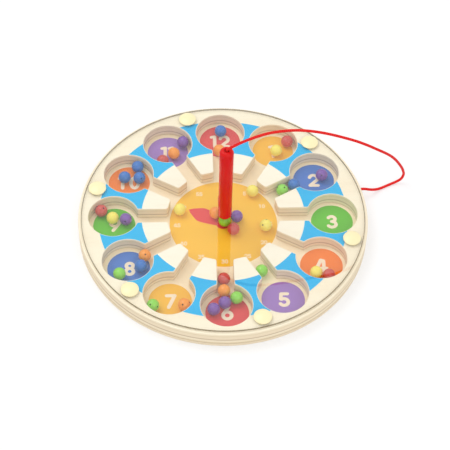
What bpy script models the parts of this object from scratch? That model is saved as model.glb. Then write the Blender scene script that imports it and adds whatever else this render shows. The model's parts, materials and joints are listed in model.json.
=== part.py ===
"""Magnetic learning clock: a wooden maze tray with captive beads and a tethered magnetic pen.

A round plywood tray is built from a plain base board and a thick maze board. The maze is one
through cut: a hub in the middle, twelve short channels, and a keyhole pocket for every hour.
Thirty-six coloured beads with steel cores roll in the maze under a clear cover, held down by six
domed buttons. A magnetic pen stands on the cover and draws the beads along from above. A red cord
ties its top to the tray's edge.

All lengths are in metres. The origin is the centre of the tray's underside, +Z is up, twelve
o'clock is at +Y and three o'clock at +X.
"""

import math

import bmesh
import bpy
from mathutils import Matrix, Vector

# Tray
BOARD_DIAMETER = 0.280
BASE_THICKNESS = 0.0049
EDGE_ROUNDING = 0.0012
SEAT_GAP = 0.0003
CUT_OVERRUN = 0.002
BOARD_STEPS = 90
ROUNDING_STEPS = 2
SHARP_DEGREES = 35

# Beads
BEAD_DIAMETER = 0.012
BEAD_HEADROOM = 0.0012
BEAD_CLEARANCE = 0.0003
BEAD_SEGMENTS = 12
BEAD_RINGS = 8

# Maze, cut through the upper board
HOUR_COUNT = 12
RIM_WALL = 0.0098
POCKET_WALL = 0.0065
CHANNEL_SLACK = 0.004
HUB_RADIUS = 0.054
TOOTH_CORNER_RADIUS = 0.0025
MOUTH_CORNER_RADIUS = 0.002
POCKET_STEPS = 22
CORNER_STEPS = 2

# Clear cover and the buttons that hold it
COVER_LEDGE = 0.003
COVER_THICKNESS = 0.002
COVER_CHAMFER = 0.0004
BUTTON_HOURS = (1.5, 3.5, 5.5, 7.5, 9.5, 11.5)
BUTTON_EDGE_DISTANCE = 0.0106
BUTTON_DIAMETER = 0.017
BUTTON_RIM_HEIGHT = 0.0009
BUTTON_DOME_HEIGHT = 0.0021
SHANK_DIAMETER = 0.005
SHANK_GRIP = 0.009
SHANK_CHAMFER = 0.0006
SHANK_CLEARANCE = 0.0003
BUTTON_STEPS = 20

# Magnetic pen
PEN_DIAMETER = 0.0133
PEN_LENGTH = 0.0937
PEN_WALL = 0.0018
PEN_TOP_WALL = 0.0055
PEN_TOP_ROUNDING = 0.0036
PEN_FOOT_ROUNDING = 0.0004
MAGNET_LENGTH = 0.010
MAGNET_CHAMFER = 0.0005
FOOT_PLUG_THICKNESS = 0.002
PEN_STEPS = 28
PEN_PLACE_SHARES = (0.028, -0.026)

# Cord and its two ends
CORD_DIAMETER = 0.0025
CORD_HOLE_CLEARANCE = 0.00095
CORD_HOLE_CHAMFER = 0.0007
CORD_POINT_SPACING = 0.0055
CORD_SIDES_RESOLUTION = 2
KNOT_DIAMETER = 0.0072
KNOT_HEIGHT = 0.0046
KNOT_WAIST_SHARE = 0.82
ANCHOR_HOUR = 2.5
ANCHOR_HEIGHT_SHARE = 0.395
ANCHOR_DIAMETER = 0.005
ANCHOR_LENGTH = 0.013
ANCHOR_BORE_DEPTH = 0.0092
ANCHOR_BORE_CLEARANCE = 0.0003
ANCHOR_STEPS = 16

# Sizes that follow from the ones above
BOARD_RADIUS = BOARD_DIAMETER / 2
BEAD_RADIUS = BEAD_DIAMETER / 2
BEAD_PITCH = BEAD_DIAMETER + BEAD_CLEARANCE
HOUR_ANGLE = math.tau / HOUR_COUNT
HALF_HOUR_SINE = math.sin(HOUR_ANGLE / 2)
HALF_HOUR_COSINE = math.cos(HOUR_ANGLE / 2)
POCKET_RING_RADIUS = (BOARD_RADIUS - RIM_WALL + POCKET_WALL / 2) / (1 + HALF_HOUR_SINE)
POCKET_RADIUS = POCKET_RING_RADIUS * HALF_HOUR_SINE - POCKET_WALL / 2
CHANNEL_HALF_WIDTH = (BEAD_DIAMETER + CHANNEL_SLACK) / 2
MAZE_THICKNESS = BEAD_DIAMETER + BEAD_HEADROOM
MAZE_BOTTOM = BASE_THICKNESS + SEAT_GAP
MAZE_TOP = MAZE_BOTTOM + MAZE_THICKNESS
COVER_BOTTOM = MAZE_TOP + SEAT_GAP
COVER_TOP = COVER_BOTTOM + COVER_THICKNESS
COVER_RADIUS = BOARD_RADIUS - COVER_LEDGE
BUTTON_RING_RADIUS = COVER_RADIUS - BUTTON_EDGE_DISTANCE
SHANK_BOTTOM = MAZE_TOP - SHANK_GRIP
BEAD_CENTRE_HEIGHT = BASE_THICKNESS + BEAD_CLEARANCE + BEAD_RADIUS
PEN_BOTTOM = COVER_TOP + SEAT_GAP
PEN_TOP = PEN_BOTTOM + PEN_LENGTH
PEN_RADIUS = PEN_DIAMETER / 2
PEN_BORE_RADIUS = PEN_RADIUS - PEN_WALL
CORD_RADIUS = CORD_DIAMETER / 2
ANCHOR_HEIGHT = MAZE_BOTTOM + ANCHOR_HEIGHT_SHARE * MAZE_THICKNESS
ANCHOR_END_RADIUS = BOARD_RADIUS - SEAT_GAP
PEN_PLACE = Vector((PEN_PLACE_SHARES[0] * HUB_RADIUS, PEN_PLACE_SHARES[1] * HUB_RADIUS, 0))

# Colours, linear, with roughness
WOOD = ((0.90, 0.79, 0.60), 0.55)
CLEAR = ((0.95, 0.97, 0.98), 0.08)
BUTTON_CREAM = ((0.98, 0.88, 0.58), 0.40)
PEN_RED = ((0.68, 0.02, 0.02), 0.18)
CORD_RED = ((0.72, 0.03, 0.04), 0.60)
STEEL = ((0.55, 0.55, 0.57), 0.30)
BEAD_COLOURS = {
    "red": ((0.58, 0.08, 0.08), 0.35),
    "orange": ((0.92, 0.30, 0.06), 0.35),
    "yellow": ((0.90, 0.74, 0.12), 0.35),
    "green": ((0.22, 0.60, 0.08), 0.35),
    "blue": ((0.05, 0.17, 0.46), 0.35),
    "purple": ((0.20, 0.09, 0.38), 0.35),
}

# Beads in a pocket: name, hour, then shares of the bead's free way from the pocket's centre,
# outwards and to the left of outwards.
POCKET_BEAD_SHARES = (
    ("bead_blue_1", 12, 0.48, -0.045),
    ("bead_orange_1", 12, -0.97, 0.07),
    ("bead_red_1", 1, 0.80, -0.49),
    ("bead_yellow_1", 1, -0.12, -0.27),
    ("bead_purple_1", 2, 0.44, -0.13),
    ("bead_yellow_2", 4, 0.07, -0.74),
    ("bead_purple_2", 6, -0.41, -0.07),
    ("bead_green_3", 7, 0.85, -0.49),
    ("bead_orange_3", 7, 0.02, 0.92),
    ("bead_blue_3", 8, -0.55, 0.43),
    ("bead_green_4", 8, 0.68, 0.30),
    ("bead_red_4", 9, 0.68, -0.70),
    ("bead_yellow_3", 9, 0.06, -0.19),
    ("bead_blue_4", 10, 0.00, -0.97),
    ("bead_blue_5", 10, 0.25, 0.04),
    ("bead_blue_6", 10, -0.49, -0.32),
    ("bead_purple_5", 11, -0.02, -0.98),
    ("bead_orange_5", 11, -0.48, -0.11),
    ("bead_red_5", 11, -0.64, 0.70),
)

# Beads in a channel: name, hour, share of the way from the hub to the pocket's centre, and share
# of the free way to the left.
CHANNEL_BEAD_SHARES = (
    ("bead_blue_2", 2, 0.556, 0.76),
    ("bead_green_2", 5, 0.335, -0.76),
)

# Beads in the hub: name, then shares of the free way towards three and twelve o'clock.
HUB_BEAD_SHARES = (
    ("bead_yellow_4", -0.874, 0.270),
    ("bead_yellow_5", 0.629, 0.740),
    ("bead_yellow_6", 0.864, -0.166),
)

# Beads that lie beside another: name, the other's name, hour, then shares of the bead pitch
# outwards and to the left along that hour.
BESIDE_BEAD_SHARES = (
    ("bead_green_1", "bead_blue_2", 2, -1.09, 0.00),
    ("bead_purple_3", "bead_purple_2", 6, 0.585, -0.854),
    ("bead_orange_2", "bead_purple_2", 6, -1.114, -0.033),
    ("bead_red_3", "bead_orange_2", 6, -1.106, 0.024),
    ("bead_orange_4", "bead_blue_3", 8, -0.748, -0.707),
    ("bead_purple_4", "bead_yellow_3", 9, -1.033, 0.146),
    ("bead_orange_6", "bead_green_6", 3, -0.707, 0.789),
    ("bead_purple_6", "bead_green_6", 3, 0.967, 0.407),
    ("bead_red_6", "bead_green_6", 3, 0.667, -0.846),
)

# Beads that lie beside another and close to a pocket's wall: name, the other's name, hour, share of
# the free way from the pocket's centre, bead pitches from the other, and the side of it that the
# bead lies on, 1 for left and -1 for right as seen from the pocket's centre.
WALL_BEAD_SHARES = (
    ("bead_red_2", "bead_yellow_2", 4, 0.936, 1.006, 1),
    ("bead_green_5", "bead_purple_2", 6, 0.899, 1.007, -1),
)

# The bead that the pen's magnet holds lies straight under the pen.
HELD_BEAD = "bead_green_6"

# The cord's route, chosen by hand: from the knot in the pen, over in one arch to the table beside
# the tray, round on the table and back into the tray's edge.
CORD_ROUTE = (
    (0.0015, -0.0014, 0.1092),
    (0.0015, -0.0014, 0.1132),
    (0.0021, -0.0017, 0.1163),
    (0.0044, -0.0025, 0.1193),
    (0.0080, -0.0033, 0.1227),
    (0.0122, -0.0037, 0.1264),
    (0.0180, -0.0038, 0.1303),
    (0.0250, -0.0034, 0.1338),
    (0.0330, -0.0025, 0.1366),
    (0.0415, -0.0013, 0.1383),
    (0.0505, -0.0002, 0.1389),
    (0.0595, 0.0009, 0.1387),
    (0.0680, 0.0017, 0.1378),
    (0.0780, 0.0023, 0.1359),
    (0.0885, 0.0025, 0.1333),
    (0.0990, 0.0023, 0.1302),
    (0.1095, 0.0019, 0.1266),
    (0.1202, 0.0018, 0.1221),
    (0.1308, 0.0024, 0.1158),
    (0.1412, 0.0050, 0.1066),
    (0.1508, 0.0109, 0.0944),
    (0.1589, 0.0193, 0.0797),
    (0.1658, 0.0286, 0.0634),
    (0.1715, 0.0377, 0.0472),
    (0.1766, 0.0450, 0.0326),
    (0.1796, 0.0507, 0.0214),
    (0.1814, 0.0533, 0.0123),
    (0.1796, 0.0528, 0.0065),
    (0.1752, 0.0522, 0.0027),
    (0.1692, 0.0500, 0.0015),
    (0.1629, 0.0469, 0.0014),
    (0.1566, 0.0435, 0.0021),
    (0.1510, 0.0406, 0.0045),
    (0.1462, 0.0384, 0.0075),
    (0.1410, 0.0373, 0.0098),
    (0.1348, 0.0361, 0.0104),
    (0.1265, 0.0339, 0.0104),
)


def clear_scene():
    """Remove every object that the file opened with."""
    for obj in list(bpy.data.objects):
        bpy.data.objects.remove(obj, do_unlink=True)


def make_material(name, look, metallic=0.0, transmission=0.0):
    """Make a Principled material from a colour and a roughness."""
    colour, roughness = look
    material = bpy.data.materials.new(name)
    material.use_nodes = True
    shader = material.node_tree.nodes["Principled BSDF"]
    shader.inputs["Base Color"].default_value = (*colour, 1.0)
    shader.inputs["Roughness"].default_value = roughness
    shader.inputs["Metallic"].default_value = metallic
    shader.inputs["Transmission Weight"].default_value = transmission
    return material


def add_object(name, mesh, material=None):
    """Put a mesh into the scene as one named object."""
    obj = bpy.data.objects.new(name, mesh)
    if material:
        mesh.materials.append(material)
    bpy.context.collection.objects.link(obj)
    return obj


def mesh_from(name, bm):
    """Turn an edit mesh into a mesh with flat end faces, smooth between its sharp edges."""
    bmesh.ops.recalc_face_normals(bm, faces=bm.faces)
    for face in bm.faces:
        face.smooth = len(face.verts) <= 4
    mesh = bpy.data.meshes.new(name)
    bm.to_mesh(mesh)
    bm.free()
    mesh.set_sharp_from_angle(angle=math.radians(SHARP_DEGREES))
    return mesh


def hour_axes(hour):
    """Give the outward direction at a clock hour, and the direction to its left."""
    turn = math.tau / 4 - hour * HOUR_ANGLE
    outward = Vector((math.cos(turn), math.sin(turn), 0))
    leftward = Vector((-outward.y, outward.x, 0))
    return outward, leftward


def arc_points(centre, radius, start, end, steps):
    """Give the points of an arc in a plane, both ends included."""
    points = []
    for step in range(steps + 1):
        angle = start + (end - start) * step / steps
        points.append((centre[0] + radius * math.cos(angle), centre[1] + radius * math.sin(angle)))
    return points


def turned_mesh(name, profile, steps, closed=False):
    """Turn a profile of (radius, height) points round the Z axis into one closed body.

    An open profile that ends off the axis gets a flat face there.
    """
    bm = bmesh.new()
    verts = [bm.verts.new((radius, 0, height)) for radius, height in profile]
    edges = [bm.edges.new(pair) for pair in zip(verts, verts[1:])]
    if closed:
        edges.append(bm.edges.new((verts[-1], verts[0])))
    bmesh.ops.spin(bm, geom=verts + edges, axis=(0, 0, 1), cent=(0, 0, 0), steps=steps, angle=math.tau)
    bmesh.ops.remove_doubles(bm, verts=bm.verts, dist=SEAT_GAP / 100)
    open_edges = [edge for edge in bm.edges if edge.is_boundary]
    if open_edges:
        bmesh.ops.holes_fill(bm, edges=open_edges, sides=0)
    return mesh_from(name, bm)


def extruded_mesh(name, outline, bottom, top):
    """Extrude a flat outline of (x, y) points from one height to another."""
    bm = bmesh.new()
    face = bm.faces.new([bm.verts.new((x, y, bottom)) for x, y in outline])
    grown = bmesh.ops.extrude_face_region(bm, geom=[face])
    raised = [item for item in grown["geom"] if isinstance(item, bmesh.types.BMVert)]
    bmesh.ops.translate(bm, verts=raised, vec=(0, 0, top - bottom))
    return mesh_from(name, bm)


def add_cutter(name, mesh):
    """Add an object that only cuts others."""
    cutter = add_object(name, mesh)
    cutter.hide_render = True
    cutter.display_type = "WIRE"
    return cutter


def cut(target, cutter):
    """Cut one object out of another with a Boolean modifier."""
    modifier = target.modifiers.new(cutter.name, "BOOLEAN")
    modifier.operation = "DIFFERENCE"
    modifier.solver = "EXACT"
    modifier.object = cutter


def disc_profile(radius, bottom, top, bottom_edge, top_edge):
    """Give a disc's outer profile, from its bottom face to its top face, with rounded edges."""
    quarter = math.tau / 4
    lower = arc_points((radius - bottom_edge, bottom + bottom_edge), bottom_edge, -quarter, 0, ROUNDING_STEPS)
    upper = arc_points((radius - top_edge, top - top_edge), top_edge, 0, quarter, ROUNDING_STEPS)
    if not bottom_edge:
        lower = lower[:1]
    if not top_edge:
        upper = upper[:1]
    return lower + upper


def keyhole_outline():
    """Give one hour's share of the maze's outline, for a channel along +X.

    It runs from the end of one tooth, along the channel's right side, round the pocket and back
    along the left side to the next tooth. The straight ends of the teeth close it.
    """
    half = CHANNEL_HALF_WIDTH
    quarter = math.tau / 4

    # The tooth's end is a straight cut across the half hour, and its corner is rounded.
    tooth_turn = quarter - HOUR_ANGLE / 2
    corner_x = (HUB_RADIUS - half * HALF_HOUR_SINE) / HALF_HOUR_COSINE
    corner_centre_x = corner_x + TOOTH_CORNER_RADIUS * math.tan(tooth_turn / 2)
    corner_centre = (corner_centre_x, -half - TOOTH_CORNER_RADIUS)
    tooth_corner = arc_points(
        corner_centre, TOOTH_CORNER_RADIUS, quarter + tooth_turn, quarter, CORNER_STEPS
    )

    # Where the channel opens into the pocket, an arc touches the channel's side and the pocket.
    mouth_y = half + MOUTH_CORNER_RADIUS
    mouth_reach = math.sqrt((POCKET_RADIUS + MOUTH_CORNER_RADIUS) ** 2 - mouth_y**2)
    mouth_centre = (POCKET_RING_RADIUS - mouth_reach, -mouth_y)
    mouth_angle = math.atan2(mouth_y, mouth_reach)
    mouth_corner = arc_points(mouth_centre, MOUTH_CORNER_RADIUS, quarter, mouth_angle, CORNER_STEPS)

    pocket = arc_points(
        (POCKET_RING_RADIUS, 0),
        POCKET_RADIUS,
        mouth_angle - math.pi,
        math.pi - mouth_angle,
        POCKET_STEPS,
    )
    right_side = tooth_corner + mouth_corner
    left_side = [(x, -y) for x, y in reversed(right_side)]
    return right_side + pocket[1:-1] + left_side


def maze_outline():
    """Give the whole outline of the maze, hour by hour and anticlockwise."""
    keyhole = keyhole_outline()
    outline = []
    for hour in range(HOUR_COUNT):
        outward, leftward = hour_axes(-hour)
        for along, across in keyhole:
            point = outward * along + leftward * across
            outline.append((point.x, point.y))
    return outline


def shank_cutter():
    """Make the holes for all button shanks as one cutter, from the maze board up through the cover."""
    bm = bmesh.new()
    bottom = SHANK_BOTTOM - SHANK_CLEARANCE
    height = COVER_TOP + CUT_OVERRUN - bottom
    for hour in BUTTON_HOURS:
        outward, _ = hour_axes(hour)
        middle = outward * BUTTON_RING_RADIUS + Vector((0, 0, bottom + height / 2))
        bmesh.ops.create_cone(
            bm,
            cap_ends=True,
            segments=BUTTON_STEPS,
            radius1=SHANK_DIAMETER / 2 + SHANK_CLEARANCE,
            radius2=SHANK_DIAMETER / 2 + SHANK_CLEARANCE,
            depth=height,
            matrix=Matrix.Translation(middle),
        )
    return add_cutter("shank_hole_cutter", mesh_from("shank_hole_cutter", bm))


def place_on_anchor_axis(obj, distance):
    """Lay an object that was turned round Z along the cord's hole, its top facing outwards."""
    outward, _ = hour_axes(ANCHOR_HOUR)
    obj.rotation_mode = "QUATERNION"
    obj.rotation_quaternion = outward.to_track_quat("Z", "Y")
    obj.location = outward * distance + Vector((0, 0, ANCHOR_HEIGHT))


def build_tray(wood):
    """Build the base board and the maze board."""
    base_profile = disc_profile(BOARD_RADIUS, 0, BASE_THICKNESS, EDGE_ROUNDING, 0)
    add_object("base_board", turned_mesh("base_board", base_profile, BOARD_STEPS), wood)

    maze_profile = disc_profile(BOARD_RADIUS, MAZE_BOTTOM, MAZE_TOP, 0, EDGE_ROUNDING)
    maze = add_object("maze_board", turned_mesh("maze_board", maze_profile, BOARD_STEPS), wood)

    below = MAZE_BOTTOM - CUT_OVERRUN
    above = MAZE_TOP + CUT_OVERRUN
    maze_mesh = extruded_mesh("maze_cutter", maze_outline(), below, above)
    cut(maze, add_cutter("maze_cutter", maze_mesh))

    hole_radius = ANCHOR_DIAMETER / 2 + ANCHOR_BORE_CLEARANCE
    hole_depth = ANCHOR_LENGTH + 2 * SEAT_GAP
    hole_profile = [(hole_radius, 0), (hole_radius, hole_depth + CUT_OVERRUN)]
    hole = add_cutter("anchor_hole_cutter", turned_mesh("anchor_hole_cutter", hole_profile, ANCHOR_STEPS))
    place_on_anchor_axis(hole, BOARD_RADIUS - hole_depth)
    cut(maze, hole)
    return maze


def build_cover(clear, cutter):
    """Build the clear cover with the holes that the button shanks pass through."""
    rim = COVER_RADIUS - COVER_CHAMFER
    profile = [
        (rim, COVER_BOTTOM),
        (COVER_RADIUS, COVER_BOTTOM + COVER_CHAMFER),
        (COVER_RADIUS, COVER_TOP - COVER_CHAMFER),
        (rim, COVER_TOP),
    ]
    cover = add_object("clear_cover", turned_mesh("clear_cover", profile, BOARD_STEPS), clear)
    cut(cover, cutter)


def button_profile():
    """Give a button's profile: a chamfered shank under a low domed head."""
    head_radius = BUTTON_DIAMETER / 2
    shank_radius = SHANK_DIAMETER / 2
    head_bottom = COVER_TOP + SEAT_GAP
    rim_top = head_bottom + BUTTON_RIM_HEIGHT
    sphere_radius = (head_radius**2 + BUTTON_DOME_HEIGHT**2) / (2 * BUTTON_DOME_HEIGHT)
    sphere_centre = (0, rim_top + BUTTON_DOME_HEIGHT - sphere_radius)
    edge_angle = math.acos(head_radius / sphere_radius)
    dome = arc_points(sphere_centre, sphere_radius, edge_angle, math.tau / 4, 2 * ROUNDING_STEPS)
    dome[-1] = (0, rim_top + BUTTON_DOME_HEIGHT)
    shank = [
        (0, SHANK_BOTTOM),
        (shank_radius - SHANK_CHAMFER, SHANK_BOTTOM),
        (shank_radius, SHANK_BOTTOM + SHANK_CHAMFER),
        (shank_radius, head_bottom),
        (head_radius, head_bottom),
    ]
    return shank + dome


def build_buttons(cream):
    """Build the six domed buttons round the cover's edge."""
    mesh = turned_mesh("cover_button", button_profile(), BUTTON_STEPS)
    mesh.materials.append(cream)
    for number, hour in enumerate(BUTTON_HOURS, start=1):
        button = add_object(f"cover_button_{number}", mesh)
        outward, _ = hour_axes(hour)
        button.location = outward * BUTTON_RING_RADIUS


def barrel_profile():
    """Give the pen barrel's closed profile: a tube with a rounded top wall and a cord hole."""
    hole_radius = CORD_RADIUS + CORD_HOLE_CLEARANCE
    rounding_centre = (PEN_RADIUS - PEN_TOP_ROUNDING, PEN_TOP - PEN_TOP_ROUNDING)
    rounding = arc_points(rounding_centre, PEN_TOP_ROUNDING, 0, math.tau / 4, 2 * ROUNDING_STEPS)
    ceiling = PEN_TOP - PEN_TOP_WALL
    foot = [
        (PEN_BORE_RADIUS, PEN_BOTTOM),
        (PEN_RADIUS - PEN_FOOT_ROUNDING, PEN_BOTTOM),
        (PEN_RADIUS, PEN_BOTTOM + PEN_FOOT_ROUNDING),
    ]
    inside = [
        (hole_radius + CORD_HOLE_CHAMFER, PEN_TOP),
        (hole_radius, PEN_TOP - CORD_HOLE_CHAMFER),
        (hole_radius, ceiling),
        (PEN_BORE_RADIUS, ceiling),
    ]
    return foot + rounding + inside


def build_pen(red, steel):
    """Build the pen: a hollow barrel with a magnet in its foot and a plug that holds the magnet."""
    barrel = turned_mesh("pen_barrel", barrel_profile(), PEN_STEPS, closed=True)
    add_object("pen_barrel", barrel, red).location = PEN_PLACE

    insert_radius = PEN_BORE_RADIUS - SEAT_GAP
    plug_top = PEN_BOTTOM + FOOT_PLUG_THICKNESS
    plug_profile = [(insert_radius, PEN_BOTTOM), (insert_radius, plug_top)]
    plug = turned_mesh("pen_foot_plug", plug_profile, PEN_STEPS)
    add_object("pen_foot_plug", plug, red).location = PEN_PLACE

    magnet_bottom = plug_top + SEAT_GAP
    magnet_top = magnet_bottom + MAGNET_LENGTH
    magnet_profile = [
        (insert_radius - MAGNET_CHAMFER, magnet_bottom),
        (insert_radius, magnet_bottom + MAGNET_CHAMFER),
        (insert_radius, magnet_top - MAGNET_CHAMFER),
        (insert_radius - MAGNET_CHAMFER, magnet_top),
    ]
    magnet = turned_mesh("pen_magnet", magnet_profile, PEN_STEPS)
    add_object("pen_magnet", magnet, steel).location = PEN_PLACE


def smooth_route(points, spacing):
    """Read evenly spaced points from a smooth curve through the route's own points."""
    vectors = [Vector(point) for point in points]
    first = 2 * vectors[0] - vectors[1]
    last = 2 * vectors[-1] - vectors[-2]
    padded = [first, *vectors, last]
    fine_steps = 24
    fine = []
    for before, start, end, after in zip(padded, padded[1:], padded[2:], padded[3:]):
        knots = [0.0]
        for a, b in ((before, start), (start, end), (end, after)):
            knots.append(knots[-1] + math.sqrt((b - a).length))
        for step in range(fine_steps):
            t = knots[1] + (knots[2] - knots[1]) * step / fine_steps
            a1 = before.lerp(start, (t - knots[0]) / (knots[1] - knots[0]))
            a2 = start.lerp(end, (t - knots[1]) / (knots[2] - knots[1]))
            a3 = end.lerp(after, (t - knots[2]) / (knots[3] - knots[2]))
            b1 = a1.lerp(a2, (t - knots[0]) / (knots[2] - knots[0]))
            b2 = a2.lerp(a3, (t - knots[1]) / (knots[3] - knots[1]))
            fine.append(b1.lerp(b2, (t - knots[1]) / (knots[2] - knots[1])))
    fine.append(vectors[-1])

    travelled = [0.0]
    for a, b in zip(fine, fine[1:]):
        travelled.append(travelled[-1] + (b - a).length)
    count = round(travelled[-1] / spacing)
    even = []
    index = 0
    for step in range(count + 1):
        goal = travelled[-1] * step / count
        while index < len(fine) - 2 and travelled[index + 1] < goal:
            index += 1
        reach = travelled[index + 1] - travelled[index]
        even.append(fine[index].lerp(fine[index + 1], (goal - travelled[index]) / reach))
    return even


def build_cord(red):
    """Build the cord, the knot that holds it in the pen and the plug that holds it in the tray."""
    route = smooth_route(CORD_ROUTE, CORD_POINT_SPACING)
    curve = bpy.data.curves.new("tether_cord", "CURVE")
    curve.dimensions = "3D"
    curve.bevel_depth = CORD_RADIUS
    curve.bevel_resolution = CORD_SIDES_RESOLUTION
    curve.use_fill_caps = True
    spline = curve.splines.new("POLY")
    spline.points.add(len(route) - 1)
    for point, place in zip(spline.points, route):
        point.co = (*place, 1)
    add_object("tether_cord", curve, red)

    knot_top = PEN_TOP - PEN_TOP_WALL - SEAT_GAP
    knot_bottom = knot_top - KNOT_HEIGHT
    knot_radius = KNOT_DIAMETER / 2
    waist_radius = knot_radius * KNOT_WAIST_SHARE
    knot_profile = [
        (0, knot_bottom),
        (CORD_RADIUS, knot_bottom),
        (knot_radius, knot_bottom + KNOT_HEIGHT / 4),
        (waist_radius, knot_bottom + KNOT_HEIGHT / 2),
        (knot_radius, knot_top - KNOT_HEIGHT / 4),
        (CORD_RADIUS, knot_top),
        (0, knot_top),
    ]
    knot = turned_mesh("cord_knot", knot_profile, ANCHOR_STEPS)
    add_object("cord_knot", knot, red).location = PEN_PLACE

    outer_radius = ANCHOR_DIAMETER / 2
    bore_radius = CORD_RADIUS + ANCHOR_BORE_CLEARANCE
    bore_bottom = ANCHOR_LENGTH - ANCHOR_BORE_DEPTH
    anchor_profile = [
        (0, 0),
        (outer_radius, 0),
        (outer_radius, ANCHOR_LENGTH),
        (bore_radius, ANCHOR_LENGTH),
        (bore_radius, bore_bottom),
        (0, bore_bottom),
    ]
    anchor = turned_mesh("cord_anchor_plug", anchor_profile, ANCHOR_STEPS)
    anchor_obj = add_object("cord_anchor_plug", anchor, red)
    place_on_anchor_axis(anchor_obj, ANCHOR_END_RADIUS - ANCHOR_LENGTH)


def bead_places():
    """Work out where every bead lies, in plan."""
    places = {HELD_BEAD: PEN_PLACE}
    pocket_free = POCKET_RADIUS - BEAD_RADIUS - BEAD_CLEARANCE
    for name, hour, out_share, left_share in POCKET_BEAD_SHARES:
        outward, leftward = hour_axes(hour)
        out = POCKET_RING_RADIUS + out_share * pocket_free
        places[name] = outward * out + leftward * left_share * pocket_free

    channel_free = CHANNEL_HALF_WIDTH - BEAD_RADIUS - BEAD_CLEARANCE
    for name, hour, along_share, left_share in CHANNEL_BEAD_SHARES:
        outward, leftward = hour_axes(hour)
        along = HUB_RADIUS + along_share * (POCKET_RING_RADIUS - HUB_RADIUS)
        places[name] = outward * along + leftward * left_share * channel_free

    hub_free = HUB_RADIUS - BEAD_RADIUS - BEAD_CLEARANCE
    for name, right_share, up_share in HUB_BEAD_SHARES:
        places[name] = Vector((right_share * hub_free, up_share * hub_free, 0))

    for name, other, hour, out_share, left_share in BESIDE_BEAD_SHARES:
        outward, leftward = hour_axes(hour)
        step = outward * out_share + leftward * left_share
        places[name] = places[other] + step * BEAD_PITCH

    for name, other, hour, free_share, pitches, side in WALL_BEAD_SHARES:
        pocket_centre = hour_axes(hour)[0] * POCKET_RING_RADIUS
        way = places[other] - pocket_centre
        from_centre = free_share * pocket_free
        from_other = pitches * BEAD_PITCH
        along = (from_centre**2 - from_other**2 + way.length**2) / (2 * way.length)
        across = math.sqrt(max(0, from_centre**2 - along**2))
        ahead = way.normalized()
        left = Vector((-ahead.y, ahead.x, 0))
        places[name] = pocket_centre + ahead * along + left * side * across
    return places


def build_beads():
    """Build the beads, which share one round mesh for each colour."""
    meshes = {}
    for colour, look in BEAD_COLOURS.items():
        bm = bmesh.new()
        bmesh.ops.create_uvsphere(
            bm, u_segments=BEAD_SEGMENTS, v_segments=BEAD_RINGS, radius=BEAD_RADIUS
        )
        meshes[colour] = mesh_from(f"bead_{colour}", bm)
        meshes[colour].materials.append(make_material(f"bead_{colour}", look))
    for name, place in sorted(bead_places().items()):
        colour = name.split("_")[1]
        bead = add_object(name, meshes[colour])
        bead.location = place + Vector((0, 0, BEAD_CENTRE_HEIGHT))


def main():
    """Build the whole clock."""
    clear_scene()
    maze = build_tray(make_material("plywood", WOOD))
    cutter = shank_cutter()
    cut(maze, cutter)
    build_cover(make_material("clear_plastic", CLEAR, transmission=0.9), cutter)
    build_buttons(make_material("button_plastic", BUTTON_CREAM))
    build_pen(make_material("pen_plastic", PEN_RED), make_material("magnet_steel", STEEL, metallic=1.0))
    build_cord(make_material("cord_weave", CORD_RED))
    build_beads()


main()
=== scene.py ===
"""The looks of the magnetic learning clock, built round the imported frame."""

import json
import math
import random

import bmesh
import bpy
from mathutils import Matrix, Vector
from mathutils.geometry import interpolate_bezier

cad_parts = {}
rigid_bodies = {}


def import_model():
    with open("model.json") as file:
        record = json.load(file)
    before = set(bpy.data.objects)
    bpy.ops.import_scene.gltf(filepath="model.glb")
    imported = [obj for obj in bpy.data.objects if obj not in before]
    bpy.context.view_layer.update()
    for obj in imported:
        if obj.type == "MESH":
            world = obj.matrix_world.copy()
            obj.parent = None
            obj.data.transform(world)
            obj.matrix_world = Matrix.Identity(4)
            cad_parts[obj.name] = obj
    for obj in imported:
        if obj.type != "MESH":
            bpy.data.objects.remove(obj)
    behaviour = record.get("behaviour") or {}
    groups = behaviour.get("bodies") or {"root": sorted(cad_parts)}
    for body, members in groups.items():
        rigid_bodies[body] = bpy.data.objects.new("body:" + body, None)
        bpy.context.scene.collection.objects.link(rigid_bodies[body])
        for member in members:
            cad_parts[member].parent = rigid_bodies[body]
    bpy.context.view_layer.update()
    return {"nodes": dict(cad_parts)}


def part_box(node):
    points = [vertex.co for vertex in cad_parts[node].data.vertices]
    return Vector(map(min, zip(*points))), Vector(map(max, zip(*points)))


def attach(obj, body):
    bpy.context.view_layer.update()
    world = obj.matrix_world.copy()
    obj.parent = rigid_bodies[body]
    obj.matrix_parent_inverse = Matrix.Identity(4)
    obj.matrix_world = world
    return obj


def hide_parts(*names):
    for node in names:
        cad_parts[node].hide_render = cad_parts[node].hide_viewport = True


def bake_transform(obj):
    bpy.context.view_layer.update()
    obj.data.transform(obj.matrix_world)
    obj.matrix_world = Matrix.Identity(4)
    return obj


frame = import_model()

BOARD = "board"
PEN = "pen"
FULL_TURN = math.tau
QUARTER = math.tau / 4
WHITE = (1.0, 1.0, 1.0)

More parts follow.
